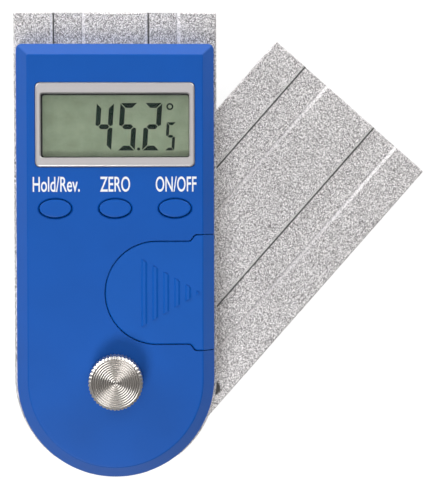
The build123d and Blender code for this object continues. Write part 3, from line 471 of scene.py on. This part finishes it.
dress(clear_acrylic(), "display_window")
BLACK_INK = plain_plastic("black_ink", (0.009, 0.009, 0.010), 0.5, 0.2)
window_low, window_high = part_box("display_window")
border = bmesh.new()
outer = Matrix.Diagonal((BORDER_OUTER[0] / 2, BORDER_OUTER[1] / 2, 1, 1))
centre = (window_low + window_high) / 2
bmesh.ops.create_grid(border, x_segments=1, y_segments=1, size=1,
                      matrix=Matrix.Translation((centre.x, centre.y, 0)) @ outer)
sheet = border.faces[:][0]
sheet.normal_update()
bmesh.ops.inset_region(border, faces=[sheet], thickness=BORDER_WIDTH, use_boundary=True,
                       use_even_offset=True)
for vert in sheet.verts:
    vert.co.x = BORDER_LEFT if vert.co.x < centre.x else BORDER_RIGHT
    vert.co.y = BORDER_BOTTOM if vert.co.y < centre.y else BORDER_TOP
inner_corners = sheet.verts[:]
bmesh.ops.delete(border, geom=[sheet], context="FACES_ONLY")
bmesh.ops.bevel(border, geom=inner_corners, offset=BORDER_CORNER, offset_type="OFFSET", segments=4,
                profile=0.5, affect="VERTICES", material=-1)
thicken_flat(border, BORDER_THICKNESS, window_low.z - BORDER_DROP)
add_piece("window_border", border, "housing", BLACK_INK)


# Housing
# A blue ABS moulding with a bevel all round, screwed down on the upper blade. Its three labels
# are printed in white above the buttons.
HOUSING_BLUE = (0.0015, 0.083, 0.40)
LABEL_WHITE = (0.83, 0.84, 0.86)
LABEL_BASE = 45.79 * MM
LABEL_CAPITAL = 3.5 * MM
LABEL_BOLD = 0.010
LABEL_RISE = 0.03 * MM
WASHER_RISE = 0.2 * MM
LABELS = (
    ("label_hold", "Hold/Rev.", -19.88 * MM, -8.55 * MM),
    ("label_zero", "ZERO", -3.65 * MM, 3.60 * MM),
    ("label_power", "ON/OFF", 9.80 * MM, 19.65 * MM),
)


def blue_moulding(name, colour):
    """Satin ABS with the mould's fine texture and a slight unevenness in tone."""
    plastic = Finish(name)
    texture = plastic.noise(1 / (0.14 * MM))
    tone = plastic.noise(1 / (9 * MM))
    share = (tone - 0.5) * 0.9 + (texture - 0.5) * 0.5 + 0.5
    blue = plastic.mix(*shades(colour, 0.07), share)
    sockets = {"Base Color": blue, "Roughness": 0.36 + texture * 0.06 + tone * 0.04,
               "Specular IOR Level": 0.2}
    return plastic.surface(sockets, texture, 0.006 * MM, 0.35)


def lettering(words, bold):
    """Words as a flat mesh at size 1, standing on the X axis."""
    text = bpy.data.curves.new("lettering", "FONT")
    text.body = words
    text.offset = bold
    text.resolution_u = 6
    written = bpy.data.objects.new("lettering", text)
    bpy.context.scene.collection.objects.link(written)
    evaluated = written.evaluated_get(bpy.context.evaluated_depsgraph_get())
    mesh = bpy.data.meshes.new_from_object(evaluated)
    bpy.data.objects.remove(written)
    flat = bmesh.new()
    flat.from_mesh(mesh)
    bpy.data.meshes.remove(mesh)
    bmesh.ops.remove_doubles(flat, verts=flat.verts, dist=1e-5)
    return flat


dress(blue_moulding("housing_blue", HOUSING_BLUE), "front_housing")
capital = lettering("H", 0)
capital_height = max(vert.co.y for vert in capital.verts)
capital.free()
housing_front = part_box("clamp_washer")[1].z - WASHER_RISE
WHITE_INK = plain_plastic("white_ink", LABEL_WHITE, 0.45, 0.03)
for name, words, left, right in LABELS:
    label = lettering(words, LABEL_BOLD)
    start = min(vert.co.x for vert in label.verts)
    end = max(vert.co.x for vert in label.verts)
    narrow = (right - left) / (end - start)
    scale = Matrix.Diagonal((narrow, LABEL_CAPITAL / capital_height, 1, 1))
    move = Matrix.Translation((left - start * narrow, LABEL_BASE, 0))
    bmesh.ops.transform(label, matrix=move @ scale, verts=label.verts)
    thicken_flat(label, 2 * LABEL_RISE, housing_front - LABEL_RISE)
    add_piece(name, label, "housing", WHITE_INK)


# Bezel
# A moulded frame in silver lacquer, pressed into the housing round the window.
def silver_lacquer():
    """Silver lacquer with a faint warm cast and fine flakes."""
    silver = Finish("bezel_silver")
    flake = silver.noise(1 / (0.2 * MM))
    colour = silver.mix((0.50, 0.475, 0.48), (0.56, 0.535, 0.54), flake)
    sockets = {"Base Color": colour, "Metallic": 0.45, "Roughness": 0.27 + flake * 0.05}
    return silver.surface(sockets, flake, 0.003 * MM, 0.15)


dress(silver_lacquer(), "display_bezel")


# Battery cover
# Moulded in the same blue, it slides out sideways over the coin cell. Its ribs point the way.
COVER_BLUE = (0.002, 0.090, 0.42)
dress(blue_moulding("cover_blue", COVER_BLUE), "battery_cover")


# Buttons
# Three oval caps on the nubs of one silicone sheet.
BUTTON_BLUE = (0.002, 0.087, 0.415)
dress(blue_moulding("button_blue", BUTTON_BLUE), "button_hold", "button_zero", "button_power")


# Clamp knob
# Turned from nickel-plated brass, straight-knurled round its side, with round ridges turned into
# its face. A blind hole takes the stud's thread.
KNOB_TEETH = 43
TOOTH_DEPTH = 0.30 * MM
TOOTH_SHAPE = (0, 0.3, 1, 0.3)
RIM_WIDTH = 0.70 * MM
RIM_DROP = 0.42 * MM
RIDGE_COUNT = 11
RIDGE_HEIGHT = 0.19 * MM
RIDGE_STEPS = 4
BORE_RADIUS = 2.54 * MM
BORE_ROOF = 1.1 * MM


def nickel():
    """Bright nickel with a warm cast, with painted shade in the grooves between the face's ridges.
    """
    plate = Finish("knob_nickel")
    mottle = plate.noise(1 / (0.9 * MM))
    bright = plate.mix((0.60, 0.565, 0.535), (0.71, 0.68, 0.65), mottle)
    radius = axis_distance(plate)
    inwards = (face_radius - radius) * (2 * pi * RIDGE_COUNT / face_radius)
    groove_shade = 0.5 - plate.node("ShaderNodeMath", {"operation": "COSINE"}, {0: inwards}) * 0.5
    # Painted shade darkens the grooves between the face's ridges.
    colour = plate.mix(bright, (0.24, 0.22, 0.20), groove_shade * (radius < face_radius) * 0.7)
    sockets = {"Base Color": colour, "Metallic": 1.0, "Roughness": 0.30 + mottle * 0.1}
    return plate.surface(sockets, mottle, 0.01 * MM, 0.3)


def next_loop(bm, loop, radius, height, depth=0.0):
    """Carry the wall on from one round loop to the next, notched by the teeth to a depth."""
    made = bmesh.ops.extrude_edge_only(bm, edges=loop)["geom"]
    for vert in (part for part in made if isinstance(part, bmesh.types.BMVert)):
        direction = vert.co.xy.normalized()
        tooth = direction.angle_signed(Vector((1, 0))) / (2 * pi) * KNOB_TEETH * len(TOOTH_SHAPE)
        notch = TOOTH_SHAPE[round(tooth) % len(TOOTH_SHAPE)] * depth
        vert.co.xy = direction * (radius - notch)
        vert.co.z = height
    return [part for part in made if isinstance(part, bmesh.types.BMEdge)]


knob_low, knob_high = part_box("clamp_knob")
knob_radius = (knob_high.x - knob_low.x) / 2
face_radius = knob_radius - RIM_WIDTH
knob = bmesh.new()
bore_roof = Matrix.Translation((0, 0, knob_high.z - BORE_ROOF))
bmesh.ops.create_circle(knob, cap_ends=True, segments=KNOB_TEETH * len(TOOTH_SHAPE),
                        radius=BORE_RADIUS, matrix=bore_roof)
wall = knob.edges[:]
wall = next_loop(knob, wall, BORE_RADIUS, knob_low.z)
wall = next_loop(knob, wall, face_radius, knob_low.z)
wall = next_loop(knob, wall, knob_radius, knob_low.z + RIM_DROP, TOOTH_DEPTH)
wall = next_loop(knob, wall, knob_radius, knob_high.z - RIM_DROP, TOOTH_DEPTH)
wall = next_loop(knob, wall, face_radius, knob_high.z)
for step in range(1, RIDGE_COUNT * RIDGE_STEPS):
    ridge_radius = face_radius * (1 - step / (RIDGE_COUNT * RIDGE_STEPS))
    drop = RIDGE_HEIGHT * (1 - cos(2 * pi * step / RIDGE_STEPS)) / 2
    wall = next_loop(knob, wall, ridge_radius, knob_high.z - drop)
bmesh.ops.contextual_create(knob, geom=wall)
clamp_knob = add_piece("clamp_knob_turned", knob, "clamp_knob", nickel(),
                       sharp_angle=35.0)
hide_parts("clamp_knob")


# Surroundings
# A pale floor in a light tent: soft light from all round, the key lamp at the lower left, low
# lamps at the upper left and right, and the camera nearly straight above.
FLOOR_SIZE = 3.0
FLOOR_COLOUR = (0.25, 0.25, 0.25)
FLOOR_GLOW = 0.85
CAMERA_PLACE = (4.066 * MM, 43.805 * MM, 429.091 * MM)
CAMERA_TURN = (radians(-1.401), radians(-2.032), radians(-0.147))
CAMERA_LENS = 123.902
CAMERA_SHIFT = 0.06
BRIGHT_SIDE = (-0.8, 0.6, 0.0)
WORLD_DARK = 0.15
WORLD_BRIGHT = 0.28
WORLD_ABOVE = 0.15
MIDDLE = (0.01, 0.03, 0.02)
LAMPS = (
    ("above_lamp", (0.01, 0.03, 0.70), MIDDLE, (0.60, 0.60), 0.8),
    ("over_lamp", (-0.02, 0.36, 0.58), MIDDLE, (0.50, 0.36), 0.2),
    ("key_lamp", (-0.10, -0.27, 0.47), MIDDLE, (0.18, 0.18), 1.65),
    ("upper_left_lamp", (-0.34, 0.32, 0.22), MIDDLE, (0.40, 0.16), 1.1),
    ("upper_right_lamp", (0.28, 0.36, 0.22), MIDDLE, (0.30, 0.20), 0.55),
    ("low_right_lamp", (0.30, 0.42, 0.10), MIDDLE, (0.40, 0.12), 0.6),
    ("top_lamp", (0.02, 0.50, 0.16), MIDDLE, (0.40, 0.10), 0.15),
    ("strip_lamp", (-0.10, 0.24, 0.018), (-0.10, 0.20, 0.16), (0.44, 0.12), 0.75),
)


floor_finish = Finish("pale_floor")
matt = floor_finish.node("ShaderNodeBsdfDiffuse", None, {"Color": (*FLOOR_COLOUR, 1)})
glow = floor_finish.node("ShaderNodeEmission", None, {"Strength": FLOOR_GLOW})
lit = floor_finish.node("ShaderNodeAddShader", None, {0: matt, 1: glow})
seen = [floor_finish.node("ShaderNodeLightPath", output=ray)
        for ray in ("Is Camera Ray", "Is Glossy Ray", "Is Transmission Ray")]
shown = floor_finish.node("ShaderNodeMixShader", None,
                          {0: seen[0] + seen[1] + seen[2], 1: matt, 2: lit})
floor_finish.node("ShaderNodeOutputMaterial", None, {"Surface": shown})
floor_mesh = bmesh.new()
bmesh.ops.create_grid(floor_mesh, x_segments=1, y_segments=1, size=FLOOR_SIZE / 2)
floor_data = bpy.data.meshes.new("floor")
floor_mesh.to_mesh(floor_data)
floor_mesh.free()
floor_data.materials.append(floor_finish.made)
floor = bpy.data.objects.new("floor", floor_data)
bpy.context.scene.collection.objects.link(floor)

studio = Finish("studio", bpy.data.worlds)
direction = studio.node("ShaderNodeTexCoord", output="Generated")
bright_side = studio.along(direction, BRIGHT_SIDE)
rise = studio.along(direction, (0, 0, 1))
around = WORLD_DARK + (bright_side * 0.5 + 0.5) * (WORLD_BRIGHT - WORLD_DARK)
level = around * (1 - rise) + rise * WORLD_ABOVE
sky = studio.node("ShaderNodeBackground", None, {"Color": (1, 1, 1, 1), "Strength": level})
studio.node("ShaderNodeOutputWorld", None, {"Surface": sky})
bpy.context.scene.world = studio.made

for name, place, aim, (width, height), power in LAMPS:
    lamp = bpy.data.lights.new(name, "AREA")
    lamp.shape = "RECTANGLE"
    lamp.size = width
    lamp.size_y = height
    lamp.energy = power
    held = bpy.data.objects.new(name, lamp)
    held.location = place
    held.rotation_euler = (Vector(aim) - Vector(place)).to_track_quat("-Z", "Y").to_euler()
    held.visible_camera = False
    bpy.context.scene.collection.objects.link(held)

camera_data = bpy.data.cameras.new("camera")
camera_data.lens = CAMERA_LENS
camera_data.sensor_width = 36
camera_data.shift_x = CAMERA_SHIFT
camera_data.clip_start = 0.01
camera = bpy.data.objects.new("camera", camera_data)
camera.location = CAMERA_PLACE
camera.rotation_euler = CAMERA_TURN
bpy.context.scene.collection.objects.link(camera)
bpy.context.scene.camera = camera
bpy.context.scene.view_settings.view_transform = "Standard"
